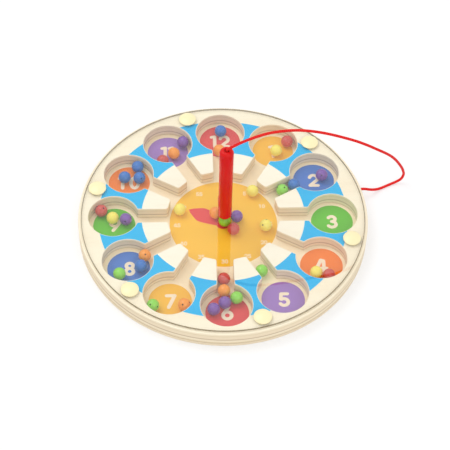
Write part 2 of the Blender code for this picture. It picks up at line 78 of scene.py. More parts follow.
# Levels, read from the frame
BOARD_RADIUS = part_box("base_board")[1][0]
BASE_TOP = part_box("base_board")[1][2]
MAZE_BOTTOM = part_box("maze_board")[0][2]
MAZE_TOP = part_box("maze_board")[1][2]
COVER_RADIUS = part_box("clear_cover")[1][0]
COVER_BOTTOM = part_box("clear_cover")[0][2]
COVER_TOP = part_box("clear_cover")[1][2]
PEN_LOW, PEN_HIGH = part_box("pen_barrel")
PEN_BOTTOM = PEN_LOW[2]
PEN_TOP = PEN_HIGH[2]
PEN_RADIUS = (PEN_HIGH[0] - PEN_LOW[0]) / 2
PEN_PLACE = Vector(((PEN_LOW[0] + PEN_HIGH[0]) / 2, (PEN_LOW[1] + PEN_HIGH[1]) / 2, 0))
BUTTON_LOW, BUTTON_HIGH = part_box("cover_button_1")
BUTTON_RADIUS = (BUTTON_HIGH[0] - BUTTON_LOW[0]) / 2
SHANK_BOTTOM = BUTTON_LOW[2]
BUTTON_TOP = BUTTON_HIGH[2]
KNOT_LOW, KNOT_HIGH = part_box("cord_knot")
BEAD_LOW, BEAD_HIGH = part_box("bead_red_1")
BEAD_RADIUS = (BEAD_HIGH[2] - BEAD_LOW[2]) / 2

# The tray, in metres
EDGE_ROUNDING = 0.0012
HOUR_COUNT = 12
HOUR_ANGLE = FULL_TURN / HOUR_COUNT
RIM_WALL = 0.0098
POCKET_WALL = 0.0065
CHANNEL_HALF_WIDTH = 0.008
HUB_RADIUS = 0.054
TOOTH_CORNER_RADIUS = 0.0025
MOUTH_CORNER_RADIUS = 0.002
HALF_HOUR_SINE = math.sin(HOUR_ANGLE / 2)
HALF_HOUR_COSINE = math.cos(HOUR_ANGLE / 2)
POCKET_RING_RADIUS = (BOARD_RADIUS - RIM_WALL + POCKET_WALL / 2) / (1 + HALF_HOUR_SINE)
POCKET_RADIUS = POCKET_RING_RADIUS * HALF_HOUR_SINE - POCKET_WALL / 2
CUT_CHAMFER = 0.0006
# Where the softened edge of the cut bulges between its two ends, as a share of its size
CUT_BULGE = 0.29
CUT_OVERRUN = 0.002
ANCHOR_HOUR = 2.5
ANCHOR_HEIGHT = 0.0104
ANCHOR_HOLE_RADIUS = 0.0028
ANCHOR_HOLE_DEPTH = 0.0136
SHANK_RADIUS = 0.0025
SHANK_CLEARANCE = 0.0003
SHANK_CHAMFER = 0.0006
SEAT_GAP = 0.0003
BUTTON_HOURS = (1.5, 3.5, 5.5, 7.5, 9.5, 11.5)
BUTTON_RING_RADIUS = 0.1264
BUTTON_RIM_HEIGHT = 0.0009
BUTTON_SOFTNESS = 0.0004
COVER_CHAMFER = 0.0004

# How finely round shapes are drawn
BOARD_STEPS = 288
POCKET_STEPS = 60
CORNER_STEPS = 6
ROUNDING_STEPS = 6
SMALL_STEPS = 48
CAP_STEPS = 12
LEAF_STEPS = 6
ROUTE_STEPS = 40
SHARP_DEGREES = 32

# The pen, in metres
PEN_WALL = 0.0018
PEN_TOP_WALL = 0.0055
PEN_TOP_ROUNDING = 0.0036
PEN_FOOT_ROUNDING = 0.0004
CORD_HOLE_RADIUS = 0.0022
CORD_HOLE_ROUNDING = 0.0005

# The cord: its route repeats the one in the part's source, point for point, in metres.
CORD_DIAMETER = 0.0025
CORD_ROUTE = (
    (0.0015, -0.0014, 0.1092),
    (0.0015, -0.0014, 0.1132),
    (0.0021, -0.0017, 0.1163),
    (0.0044, -0.0025, 0.1193),
    (0.0080, -0.0033, 0.1227),
    (0.0122, -0.0037, 0.1264),
    (0.0180, -0.0038, 0.1303),
    (0.0250, -0.0034, 0.1338),
    (0.0330, -0.0025, 0.1366),
    (0.0415, -0.0013, 0.1383),
    (0.0505, -0.0002, 0.1389),
    (0.0595, 0.0009, 0.1387),
    (0.0680, 0.0017, 0.1378),
    (0.0780, 0.0023, 0.1359),
    (0.0885, 0.0025, 0.1333),
    (0.0990, 0.0023, 0.1302),
    (0.1095, 0.0019, 0.1266),
    (0.1202, 0.0018, 0.1221),
    (0.1308, 0.0024, 0.1158),
    (0.1412, 0.0050, 0.1066),
    (0.1508, 0.0109, 0.0944),
    (0.1589, 0.0193, 0.0797),
    (0.1658, 0.0286, 0.0634),
    (0.1715, 0.0377, 0.0472),
    (0.1766, 0.0450, 0.0326),
    (0.1796, 0.0507, 0.0214),
    (0.1814, 0.0533, 0.0123),
    (0.1796, 0.0528, 0.0065),
    (0.1752, 0.0522, 0.0027),
    (0.1692, 0.0500, 0.0015),
    (0.1629, 0.0469, 0.0014),
    (0.1566, 0.0435, 0.0021),
    (0.1510, 0.0406, 0.0045),
    (0.1462, 0.0384, 0.0075),
    (0.1410, 0.0373, 0.0098),
    (0.1348, 0.0361, 0.0104),
    (0.1265, 0.0339, 0.0104),
)
CORD_RING_SPACING = 0.00042
CORD_SIDES = 24
CORD_SHARP_DEGREES = 70
BRAID_BUMPS_AROUND = 6
BRAID_PITCH = 0.0019
BRAID_DEPTH = 0.00011
KNOT_STEPS = 120
# The share of a full round that the knot's path makes, so that its two ends don't meet
KNOT_ROUND = 0.985

# The print on the wood, in metres from the middle
PRINT_INNER_RADIUS = 0.0790
PRINT_OUTER_RADIUS = 0.1205
PRINT_EDGE_BLUR = 0.0001
NUMBER_DISC_RADIUS = 0.0204
DIAL_RADIUS = 0.0524
PRINT_THICKNESS = 0.0001
PRINT_TOP = BASE_TOP + PRINT_THICKNESS
# Numbers and hands are printed over the discs, and the hub over the hands.
MARK_BOTTOM = BASE_TOP + 0.5 * PRINT_THICKNESS
MARK_TOP = BASE_TOP + 1.5 * PRINT_THICKNESS
HUB_TOP = BASE_TOP + 1.8 * PRINT_THICKNESS
# The floor's print sits a little off the middle of the maze, as in the photograph.
PRINT_SHIFT = Vector((0.00044, -0.00031, 0))
PRINT_TURN_DEGREES = 0.24
NUMBER_HEIGHT = 0.0167
MINUTE_HEIGHT = 0.0050
MINUTE_RING_RADIUS = 0.0447
MINUTE_SHIFT = Vector((-0.0003, -0.0015, 0))
# Each hand's direction in degrees, its length, and pairs of a share of the length and a half width
HANDS = {
    "hour": (152, 0.0373, (
        (0.0, 0.0045), (0.19, 0.0060), (0.43, 0.0079), (0.61, 0.0087),
        (0.67, 0.0082), (0.78, 0.0061), (0.93, 0.0030),
    )),
    "minute": (90, 0.0425, (
        (0.0, 0.0028), (0.25, 0.0034), (0.55, 0.0042), (0.78, 0.0040), (0.93, 0.0020),
    )),
}
HAND_HUB_RADIUS = 0.007

# The camera, fitted to the photograph: angles in degrees, the rest in metres
CAMERA_TARGET = Vector((0, 0, 0.0184))
CAMERA_DISTANCE = 1.4637
CAMERA_ELEVATION = 51.466
CAMERA_AZIMUTH = -2.9804
CAMERA_ROLL = 1.6447
CAMERA_LENS_MM = 121.066
CAMERA_SENSOR_MM = 36.0
CAMERA_SHIFT = (0.004011, -0.022951)


def put(name, data):
    """Put data into the scene as an object."""
    thing = bpy.data.objects.new(name, data)
    bpy.context.collection.objects.link(thing)
    return thing


def camera_axes():
    """Give the photograph's directions to the right, upwards and back to the camera."""
    elevation = math.radians(CAMERA_ELEVATION)
    azimuth = math.radians(CAMERA_AZIMUTH)
    roll = math.radians(CAMERA_ROLL)
    back = Vector((
        math.sin(azimuth) * math.cos(elevation),
        -math.cos(azimuth) * math.cos(elevation),
        math.sin(elevation),
    ))
    level_right = Vector((math.cos(azimuth), math.sin(azimuth), 0))
    level_up = back.cross(level_right)
    right = level_right * math.cos(roll) + level_up * math.sin(roll)
    up = level_up * math.cos(roll) - level_right * math.sin(roll)
    return right, up, back


def set_camera():
    """Put the camera where the photograph was taken from."""
    right, up, back = camera_axes()
    data = bpy.data.cameras.new("camera")
    data.lens = CAMERA_LENS_MM
    data.sensor_width = CAMERA_SENSOR_MM
    data.shift_x, data.shift_y = CAMERA_SHIFT
    data.clip_start = 0.01
    camera = put("camera", data)
    turn = Matrix((right, up, back)).transposed().to_4x4()
    camera.matrix_world = Matrix.Translation(CAMERA_TARGET + back * CAMERA_DISTANCE) @ turn
    bpy.context.scene.camera = camera


# Node helpers


def fill(tree, socket, value):
    """Link a socket to another node's output, or set its value: a colour gets an alpha of one."""
    if isinstance(value, bpy.types.NodeSocket):
        tree.links.new(value, socket)
    else:
        socket.default_value = (*value, 1.0) if socket.type == "RGBA" else value


def add_node(tree, kind, inputs=None, **settings):
    """Add a node, and fill its inputs with values or with other nodes' outputs."""
    node = tree.nodes.new(kind)
    for key, value in settings.items():
        setattr(node, key, value)
    for key, value in (inputs or {}).items():
        fill(tree, node.inputs[key], value)
    return node


def maths(tree, operation, *values):
    """Add a Math node and give its output."""
    node = add_node(tree, "ShaderNodeMath", dict(enumerate(values)), operation=operation)
    return node.outputs[0]


def blend_colours(tree, factor, first, second):
    """Mix two colours, each a tuple or another node's output."""
    inputs = {0: factor, 6: first, 7: second}
    return add_node(tree, "ShaderNodeMix", inputs, data_type="RGBA").outputs[2]


def tint(tree, base, colour, mask, share):
    """Mix up to a share of a colour into a base, where a mask says."""
    return blend_colours(tree, maths(tree, "MULTIPLY", mask, share), base, colour)


def shaded(colour, share):
    """Give a colour at a share of its strength."""
    return tuple(channel * share for channel in colour)


def mix_shaders(tree, share, first, second):
    """Mix two shader nodes."""
    inputs = {0: share, 1: first.outputs[0], 2: second.outputs[0]}
    return add_node(tree, "ShaderNodeMixShader", inputs)


def show(tree, shader):
    """Make a shader node the surface."""
    tree.links.new(shader.outputs[0], tree.nodes["Material Output"].inputs["Surface"])


def step_up(tree, value, low, high):
    """Rise smoothly from nought at low to one at high."""
    inputs = {"Value": value, "From Min": low, "From Max": high}
    node = add_node(tree, "ShaderNodeMapRange", inputs, interpolation_type="SMOOTHSTEP")
    return node.outputs["Result"]


def split(tree, vector):
    """Give a vector's X, Y and Z."""
    return add_node(tree, "ShaderNodeSeparateXYZ", {0: vector}).outputs


def noise(tree, coords, scale, detail=4.0, roughness=0.55):
    """Give a noise at one scale, or at a scale of its own along each axis."""
    stretch = scale if isinstance(scale, tuple) else (scale, scale, scale)
    place = add_node(tree, "ShaderNodeMapping", {"Vector": coords, "Scale": stretch}).outputs[0]
    inputs = {"Vector": place, "Scale": 1.0, "Detail": detail, "Roughness": roughness}
    return add_node(tree, "ShaderNodeTexNoise", inputs).outputs["Fac"]


def ramp(tree, factor, stops):
    """Add a colour ramp of (place, colour) stops."""
    node = add_node(tree, "ShaderNodeValToRGB", {"Fac": factor})
    elements = node.color_ramp.elements
    while len(elements) < len(stops):
        elements.new(0.5)
    for element, (place, colour) in zip(elements, stops):
        element.position = place
        element.color = (*colour, 1.0)
    return node.outputs["Color"]


def bump(tree, height, distance, strength=1.0):
    """Turn a height into a bumped normal."""
    inputs = {"Height": height, "Distance": distance, "Strength": strength}
    return add_node(tree, "ShaderNodeBump", inputs).outputs["Normal"]


def new_material(name):
    """Make a material, and give it with its tree and the place on the piece in metres."""
    material = bpy.data.materials.new(name)
    material.use_nodes = True
    tree = material.node_tree
    return material, tree, add_node(tree, "ShaderNodeTexCoord").outputs["Object"]


def feed(material, **inputs):
    """Set the inputs of a material's own shader: a name's underscores stand for spaces."""
    tree = material.node_tree
    for key, value in inputs.items():
        fill(tree, tree.nodes["Principled BSDF"].inputs[key.replace("_", " ")], value)
    return material


# Materials

WOOD_PALE = (0.965, 0.880, 0.685)
WOOD_GRAIN = (0.915, 0.790, 0.580)
WOOD_TOOTH = (0.970, 0.915, 0.755)
WOOD_FLOOR = (1.000, 0.855, 0.605)
PRINT_BLUE = (0.001, 0.480, 0.825)
PRINT_BLUE_DEEP = (0.001, 0.430, 0.785)
PLY_LIGHT = (0.910, 0.800, 0.600)
PLY_MIDDLE = (0.860, 0.735, 0.540)
PLY_TAN = (0.800, 0.680, 0.480)
PLY_LINE = (0.570, 0.450, 0.310)
PLY_DARK = (0.540, 0.410, 0.260)
# The layers of the tray's plywood: where each starts and ends, as shares of the tray's height
PLY_LAYERS = (
    (0.000, 0.222, PLY_MIDDLE),
    (0.230, 0.250, PLY_LINE),
    (0.275, 0.340, PLY_TAN),
    (0.370, 0.490, PLY_LIGHT),
    (0.520, 0.560, PLY_LINE),
    (0.590, 0.780, PLY_MIDDLE),
    (0.815, 0.875, PLY_TAN),
    (0.910, 1.000, PLY_LIGHT),
)
# How far the layers' lines wander up and down, in metres
PLY_WANDER = 0.0006

PEN_RED = (0.720, 0.009, 0.008)
PEN_RED_DEEP = (0.650, 0.007, 0.007)
CORD_RED = (0.900, 0.035, 0.030)
# The darker red serves both as painted shade in the braid's grooves and as the fibres' own darker
# tone
CORD_RED_SHADE_AND_FIBRE = (0.620, 0.012, 0.012)
CORD_SHEEN = (1.0, 0.30, 0.25)
# The anchor plug's red plastic, darkened with painted shade of the hole in the tray's edge
ANCHOR_RED_WITH_SHADE = (0.420, 0.020, 0.022)
NICKEL = (0.60, 0.59, 0.57)
NICKEL_DEEP = (0.50, 0.49, 0.48)
COVER_CLEAR = (0.995, 0.998, 0.997)
# Painted shade: the brown that the sheet's cut edge is painted with, to show its darker line
COVER_EDGE_SHADE = (0.28, 0.22, 0.13)
COVER_EDGE_SHADE_DEEP = (0.20, 0.15, 0.08)
# The share of light that the clear sheet mirrors from straight above, its two faces together
COVER_MIRROR = 0.086
BUTTON_CREAM = (0.980, 0.880, 0.520)
BEAD_COLOURS = {
    "red": (0.640, 0.070, 0.050),
    "orange": (0.990, 0.335, 0.018),
    "yellow": (0.990, 0.860, 0.130),
    "green": (0.270, 0.740, 0.055),
    "blue": (0.014, 0.170, 0.570),
    "purple": (0.205, 0.074, 0.400),
}
# The discs' colours, in their order round the clock from twelve
DISC_COLOURS = {
    "red": (0.800, 0.068, 0.068),
    "yellow": (0.960, 0.525, 0.032),
    "blue": (0.065, 0.195, 0.600),
    "green": (0.122, 0.540, 0.016),
    "orange": (0.960, 0.230, 0.016),
    "purple": (0.365, 0.205, 0.570),
}
DIAL_ORANGE = (0.965, 0.550, 0.028)
HAND_RED = (0.780, 0.060, 0.057)
NUMERAL_CREAM = (0.960, 0.810, 0.610)
MINUTE_CREAM = (0.975, 0.760, 0.450)


def wood_tones(tree, coords):
    """Give the board's grain along X: a soft figure and fine pores, both from nought to one."""
    figure = noise(tree, coords, (5.0, 42.0, 42.0), detail=5.0)
    pores = noise(tree, coords, (60.0, 1400.0, 1400.0), detail=2.0, roughness=0.7)
    return step_up(tree, figure, 0.35, 0.70), step_up(tree, pores, 0.52, 0.74)


def ply_bands(tree, coords):
    """Give the colour of cut plywood: layers by height, each with its own grain."""
    across = noise(tree, coords, (90.0, 90.0, 2600.0), detail=3.0, roughness=0.6)
    wander = maths(tree, "SUBTRACT", noise(tree, coords, 14.0, detail=2.0), 0.5)
    level = maths(tree, "MULTIPLY_ADD", wander, PLY_WANDER, split(tree, coords)["Z"])
    stops = []
    for start, end, tone in PLY_LAYERS:
        stops += [(start, tone), (end, tone)]
    layers = ramp(tree, maths(tree, "DIVIDE", level, MAZE_TOP), stops)
    return tint(tree, layers, PLY_DARK, step_up(tree, across, 0.35, 0.75), 0.20)


def ring_mask(tree, radius, facing):
    """Give one on the blue ring of the top face, and nought elsewhere."""
    blur = PRINT_EDGE_BLUR
    inner = step_up(tree, radius, PRINT_INNER_RADIUS - blur, PRINT_INNER_RADIUS + blur)
    outer = step_up(tree, radius, PRINT_OUTER_RADIUS + blur, PRINT_OUTER_RADIUS - blur)
    top = step_up(tree, facing, 0.985, 0.999)
    return maths(tree, "MULTIPLY", maths(tree, "MULTIPLY", inner, outer), top)


def plywood_material(name, printed):
    """Make the boards' plywood, with the blue ring printed on the maze board's top face."""
    material, tree, coords = new_material(name)
    flat = add_node(tree, "ShaderNodeVectorMath", {0: coords, 1: (1, 1, 0)}, operation="MULTIPLY")
    reach = add_node(tree, "ShaderNodeVectorMath", {0: flat.outputs[0]}, operation="LENGTH")
    radius = reach.outputs["Value"]
    facing = split(tree, add_node(tree, "ShaderNodeNewGeometry").outputs["Normal"])["Z"]
    figure, pores = wood_tones(tree, coords)
    plain, share = (WOOD_PALE, 0.55) if printed else (WOOD_FLOOR, 0.20)
    face = tint(tree, plain, WOOD_GRAIN, figure, share)
    if printed:
        inside = maths(tree, "LESS_THAN", radius, PRINT_INNER_RADIUS)
        face = blend_colours(tree, inside, face, tint(tree, WOOD_TOOTH, WOOD_GRAIN, figure, 0.30))
    face = tint(tree, face, PLY_DARK, pores, 0.12)
    if printed:
        ink = tint(tree, PRINT_BLUE, PRINT_BLUE_DEEP, figure, 0.5)
        face = blend_colours(tree, ring_mask(tree, radius, facing), face, ink)
    level = step_up(tree, maths(tree, "ABSOLUTE", facing), 0.55, 0.85)
    relief = maths(tree, "MULTIPLY_ADD", pores, -1.0, maths(tree, "MULTIPLY", figure, 0.4))
    return feed(
        material,
        Base_Color=blend_colours(tree, level, ply_bands(tree, coords), face),
        Roughness=maths(tree, "MULTIPLY_ADD", figure, 0.10, 0.50),
        Specular_IOR_Level=0.12,
        Normal=bump(tree, relief, 0.00003),
    )


def print_material(name, colour, deep_share=0.90):
    """Make printed ink over wood, in which the wood's grain shows a little."""
    material, tree, coords = new_material(name)
    figure, pores = wood_tones(tree, coords)
    ink = tint(tree, colour, shaded(colour, deep_share), figure, 0.6)
    return feed(
        material,
        Base_Color=tint(tree, ink, PLY_TAN, pores, 0.05),
        Roughness=maths(tree, "MULTIPLY_ADD", figure, 0.08, 0.50),
        Specular_IOR_Level=0.25,
        Normal=bump(tree, pores, 0.00002, 0.6),
    )


def moulded_material(name, colour, roughness, mottle):
    """Make moulded plastic with faint flow marks and a fine skin."""
    material, tree, coords = new_material(name)
    flow = noise(tree, coords, 220.0, detail=3.0)
    return feed(
        material,
        Base_Color=blend_colours(tree, flow, colour, shaded(colour, 1 - 2 * mottle)),
        Roughness=maths(tree, "MULTIPLY_ADD", flow, 0.10, roughness - 0.05),
        Normal=bump(tree, noise(tree, coords, 3200.0, detail=2.0), 0.00002, 0.5),
    )


def pen_material():
    """Make the pen's glossy red plastic, with fine marks from handling along it."""
    material, tree, coords = new_material("pen_gloss_red")
    marks = noise(tree, coords, (900.0, 900.0, 60.0), detail=3.0, roughness=0.6)
    flow = noise(tree, coords, (160.0, 160.0, 48.0), detail=2.0)
    return feed(
        material,
        Base_Color=blend_colours(tree, flow, PEN_RED, PEN_RED_DEEP),
        Roughness=maths(tree, "MULTIPLY_ADD", step_up(tree, marks, 0.55, 0.80), 0.12, 0.16),
        Specular_IOR_Level=0.16,
        Normal=bump(tree, marks, 0.00001, 0.35),
    )


def cord_material():
    """Make the cord's woven red thread, with painted shade in the braid's grooves."""
    material, tree, coords = new_material("cord_red_braid")
    braid = add_node(tree, "ShaderNodeUVMap", uv_map="braid").outputs[0]
    waves = []
    for axis in "XY":
        turn = maths(tree, "MULTIPLY", split(tree, braid)[axis], FULL_TURN)
        waves.append(maths(tree, "COSINE", turn))
    crest = maths(tree, "MULTIPLY_ADD", maths(tree, "ADD", *waves), 0.25, 0.5)
    fibre = noise(tree, braid, (34.0, 5.0, 1.0), detail=3.0, roughness=0.7)
    fuzz = noise(tree, coords, 900.0, detail=3.0)
    # Painted shade: the red darkens from the braid's crests into its grooves; the fibre tint is the
    # thread's own tone.
    base = blend_colours(tree, step_up(tree, crest, 0.15, 0.75), CORD_RED_SHADE_AND_FIBRE, CORD_RED)
    return feed(
        material,
        Base_Color=tint(tree, base, CORD_RED_SHADE_AND_FIBRE, fibre, 0.35),
        Roughness=maths(tree, "MULTIPLY_ADD", fuzz, 0.2, 0.60),
        Specular_IOR_Level=0.1,
        Sheen_Weight=0.02,
        Sheen_Roughness=0.4,
        Sheen_Tint=CORD_SHEEN,
        Normal=bump(tree, fibre, 0.00005, 0.8),
    )


def steel_material():
    """Make the magnet's nickel plate, with fine turning marks."""
    material, tree, coords = new_material("magnet_nickel")
    rings = noise(tree, coords, (300.0, 300.0, 6000.0), detail=2.0)
    return feed(
        material,
        Base_Color=blend_colours(tree, rings, NICKEL, NICKEL_DEEP),
        Metallic=1.0,
        Roughness=maths(tree, "MULTIPLY_ADD", rings, 0.15, 0.22),
        Normal=bump(tree, rings, 0.00001, 0.4),
    )


def cover_material():
    """Make the clear sheet: it mirrors a little of what is round it and lets the rest through.

    Its cut edge carries light sideways, so it looks like a darker line, which is painted on as a
    brown shade.
    """
    material, tree, coords = new_material("cover_clear_sheet")
    tree.nodes.remove(tree.nodes["Principled BSDF"])
    clear = add_node(tree, "ShaderNodeBsdfTransparent", {"Color": COVER_CLEAR})
    handling = noise(tree, coords, 30.0, detail=3.0)
    polish = maths(tree, "MULTIPLY_ADD", handling, 0.02, 0.01)
    gloss = add_node(tree, "ShaderNodeBsdfGlossy", {"Color": WHITE, "Roughness": polish})
    facing = add_node(tree, "ShaderNodeLayerWeight", {"Blend": 0.5}).outputs["Facing"]
    mirror = maths(tree, "MULTIPLY_ADD", maths(tree, "POWER", facing, 5.0), 0.90, COVER_MIRROR)
    geometry = add_node(tree, "ShaderNodeNewGeometry")
    entering = maths(tree, "SUBTRACT", 1.0, geometry.outputs["Backfacing"])
    faces = mix_shaders(tree, maths(tree, "MULTIPLY", mirror, entering), clear, gloss)
    # The cut edge is painted shade: a brown diffuse mixed into the clear.
    edge_shade_tone = blend_colours(tree, handling, COVER_EDGE_SHADE, COVER_EDGE_SHADE_DEEP)
    edge_shade = add_node(tree, "ShaderNodeBsdfDiffuse", {"Color": edge_shade_tone})
    edge = mix_shaders(tree, 0.80, clear, edge_shade)
    upright = maths(tree, "ABSOLUTE", split(tree, geometry.outputs["Normal"])["Z"])
    show(tree, mix_shaders(tree, step_up(tree, upright, 0.90, 0.97), edge, faces))
    return material


# Mesh helpers


def add_piece(name, mesh, material, body, replaced=(), place=(0, 0, 0), turn=(0, 0, 0)):
    """Put a mesh into the scene as one piece that rides on a body."""
    piece = put(name, mesh)
    piece.location = place
    piece.rotation_euler = turn
    if material and not mesh.materials:
        mesh.materials.append(material)
    if replaced:
        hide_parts(*replaced)
    if body:
        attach(piece, body)
    return piece


def mesh_from(name, bm, sharp_degrees=SHARP_DEGREES):
    """Turn an edit mesh into a mesh, smooth between its sharp edges, with its big faces flat."""
    bmesh.ops.recalc_face_normals(bm, faces=bm.faces)
    mesh = bpy.data.meshes.new(name)
    bm.to_mesh(mesh)
    bm.free()
    mesh.set_sharp_from_angle(angle=math.radians(sharp_degrees))
    for face in mesh.polygons:
        face.use_smooth = len(face.vertices) <= 4
    return mesh


def hour_axes(hour):
    """Give the outward direction at a clock hour, and the direction to its left."""
    turn = QUARTER - hour * HOUR_ANGLE
    outward = Vector((math.cos(turn), math.sin(turn), 0))
    return outward, Vector((-outward.y, outward.x, 0))


def arc_points(centre, across, start, end, steps, up=None):
    """Give the points of an arc in a plane, both ends included. An oval has its own reach up."""
    points = []
    for step in range(steps + 1):
        angle = start + (end - start) * step / steps
        rise = (across if up is None else up) * math.sin(angle)
        points.append((centre[0] + across * math.cos(angle), centre[1] + rise))
    return points


def circle(centre, radius, steps):
    """Give the points of a circle."""
    return arc_points(centre, radius, 0, FULL_TURN, steps)[:-1]


def lofted_mesh(name, rows, closed=False):
    """Join rows of points into a body: with flat ends, or round to the first row.

    All rows have as many points, apart from those of a single point.
    """
    bm = bmesh.new()
    loops = [[bm.verts.new(point) for point in row] for row in rows]
    pairs = list(zip(loops, loops[1:]))
    if closed:
        pairs.append((loops[-1], loops[0]))
    else:
        for loop in (loops[0], loops[-1]):
            if len(loop) > 1:
                bm.faces.new(loop)
    for lower, upper in pairs:
        count = max(len(lower), len(upper))
        for index in range(count):
            after = (index + 1) % count
            corners = [lower[index % len(lower)], lower[after % len(lower)]]
            corners += [upper[after % len(upper)], upper[index % len(upper)]]
            bm.faces.new(list(dict.fromkeys(corners)))
    return mesh_from(name, bm)


def turned_mesh(name, profile, steps, closed=False, centre=(0, 0)):
    """Turn a profile of (radius, height) points round an upright axis into one closed body."""
    rows = []
    for radius, height in profile:
        ring = circle(centre, radius, steps) if radius else [centre]
        rows.append([(x, y, height) for x, y in ring])
    return lofted_mesh(name, rows, closed)


def peg_mesh(radius, bottom, top, steps=SMALL_STEPS, centre=(0, 0)):
    """Make an upright peg, which cuts a round hole."""
    return turned_mesh("peg", [(0, bottom), (radius, bottom), (radius, top)], steps, centre=centre)


def plate_mesh(name, outline, bottom, top):
    """Make a flat plate from an outline of (x, y) points."""
    bm = bmesh.new()
    face = bm.faces.new([bm.verts.new((x, y, bottom)) for x, y in outline])
    grown = bmesh.ops.extrude_face_region(bm, geom=[face])
    raised = [item for item in grown["geom"] if isinstance(item, bmesh.types.BMVert)]
    bmesh.ops.translate(bm, verts=raised, vec=(0, 0, top - bottom))
    return mesh_from(name, bm)


def shifted(path, distance, closed):
    """Move a path to its right by a distance, each point along its own normal."""
    moved = []
    for index, here in enumerate(path):
        before = path[index - 1] if closed or index else here
        after = path[(index + 1) % len(path)] if closed or index < len(path) - 1 else here
        way_in, way_out = here - before, after - here
        way_in = (way_in if way_in.length else way_out).normalized()
        way_out = (way_out if way_out.length else way_in).normalized()
        normal = Vector((way_in.y + way_out.y, -way_in.x - way_out.x)).normalized()
        lean = normal.dot(Vector((way_in.y, -way_in.x)))
        moved.append(here + normal * distance / lean)
    return moved


def carve(mesh, cutters, operation="DIFFERENCE"):
    """Cut meshes out of one mesh, or join them to it, and give the result."""
    target = put("carve_target", mesh)
    helpers = [target]
    for cutter in cutters:
        helpers.append(put("carve_cutter", cutter))
        modifier = target.modifiers.new("carve", "BOOLEAN")
        modifier.operation = operation
        modifier.solver = "EXACT"
        modifier.object = helpers[-1]
    bpy.context.view_layer.update()
    bm = bmesh.new()
    bm.from_object(target, bpy.context.evaluated_depsgraph_get())
    for helper in helpers:
        bpy.data.objects.remove(helper, do_unlink=True)
    return mesh_from(mesh.name, bm)


# The tray


def keyhole_outline():
    """Give one hour's share of the maze's outline, for a channel along +X."""
    half = CHANNEL_HALF_WIDTH
    tooth_turn = QUARTER - HOUR_ANGLE / 2
    tooth_x = (HUB_RADIUS - half * HALF_HOUR_SINE) / HALF_HOUR_COSINE
    tooth_x += TOOTH_CORNER_RADIUS * math.tan(tooth_turn / 2)
    tooth_centre = (tooth_x, -half - TOOTH_CORNER_RADIUS)
    tooth_start = QUARTER + tooth_turn
    right_side = arc_points(tooth_centre, TOOTH_CORNER_RADIUS, tooth_start, QUARTER, CORNER_STEPS)
    mouth_y = half + MOUTH_CORNER_RADIUS
    mouth_reach = math.sqrt((POCKET_RADIUS + MOUTH_CORNER_RADIUS) ** 2 - mouth_y**2)
    mouth_centre = (POCKET_RING_RADIUS - mouth_reach, -mouth_y)
    mouth_end = math.atan2(mouth_y, mouth_reach)
    right_side += arc_points(mouth_centre, MOUTH_CORNER_RADIUS, QUARTER, mouth_end, CORNER_STEPS)
    turn = math.pi - mouth_end
    pocket = arc_points((POCKET_RING_RADIUS, 0), POCKET_RADIUS, -turn, turn, POCKET_STEPS)
    left_side = [(x, -y) for x, y in reversed(right_side)]
    return right_side + pocket[1:-1] + left_side


def maze_cutter():
    """Make the maze as one body to cut, wider at the top so that it leaves a softened edge."""
    keyhole = keyhole_outline()
    outline = []
    for hour in range(HOUR_COUNT):
        outward, leftward = hour_axes(-hour)
        outline += [(outward * along + leftward * across).to_2d() for along, across in keyhole]
    soft = CUT_CHAMFER
    levels = (
        (0, MAZE_BOTTOM - CUT_OVERRUN),
        (0, MAZE_TOP - soft),
        (soft * CUT_BULGE, MAZE_TOP - soft * CUT_BULGE),
        (soft, MAZE_TOP),
        (soft, MAZE_TOP + CUT_OVERRUN),
    )
    rows = []
    for distance, height in levels:
        rows.append([(*point, height) for point in shifted(outline, distance, True)])
    return lofted_mesh("maze_cutter", rows)


def anchor_hole_cutter():
    """Make the hole in the tray's edge that the cord goes into."""
    bottom, top = BOARD_RADIUS - ANCHOR_HOLE_DEPTH, BOARD_RADIUS + CUT_OVERRUN
    mesh = peg_mesh(ANCHOR_HOLE_RADIUS, bottom, top)
    turn = hour_axes(ANCHOR_HOUR)[0].to_track_quat("Z", "Y").to_matrix().to_4x4()
    mesh.transform(Matrix.Translation((0, 0, ANCHOR_HEIGHT)) @ turn)
    return mesh


def shank_hole_cutters(bottom, top):
    """Make the holes for the buttons' shanks."""
    radius = SHANK_RADIUS + SHANK_CLEARANCE
    places = [(hour_axes(hour)[0] * BUTTON_RING_RADIUS).to_2d() for hour in BUTTON_HOURS]
    return [peg_mesh(radius, bottom, top, centre=place) for place in places]


def build_tray():
    """Build both boards in plywood, the upper one with the maze cut through it."""
    soft = EDGE_ROUNDING
    edge = arc_points((BOARD_RADIUS - soft, soft), soft, -QUARTER, 0, ROUNDING_STEPS)
    base = turned_mesh("tray_base", [*edge, (BOARD_RADIUS, BASE_TOP)], BOARD_STEPS)
    wood = plywood_material("base_plywood", False)
    add_piece("tray_base", base, wood, BOARD, ["base_board"])
    edge = arc_points((BOARD_RADIUS - soft, MAZE_TOP - soft), soft, 0, QUARTER, ROUNDING_STEPS)
    blank = turned_mesh("tray_maze", [(BOARD_RADIUS, MAZE_BOTTOM), *edge], BOARD_STEPS)
    holes = shank_hole_cutters(SHANK_BOTTOM - SHANK_CLEARANCE, MAZE_TOP + CUT_OVERRUN)
    maze = carve(blank, [maze_cutter(), anchor_hole_cutter(), *holes])
    wood = plywood_material("maze_plywood", True)
    add_piece("tray_maze", maze, wood, BOARD, ["maze_board"])


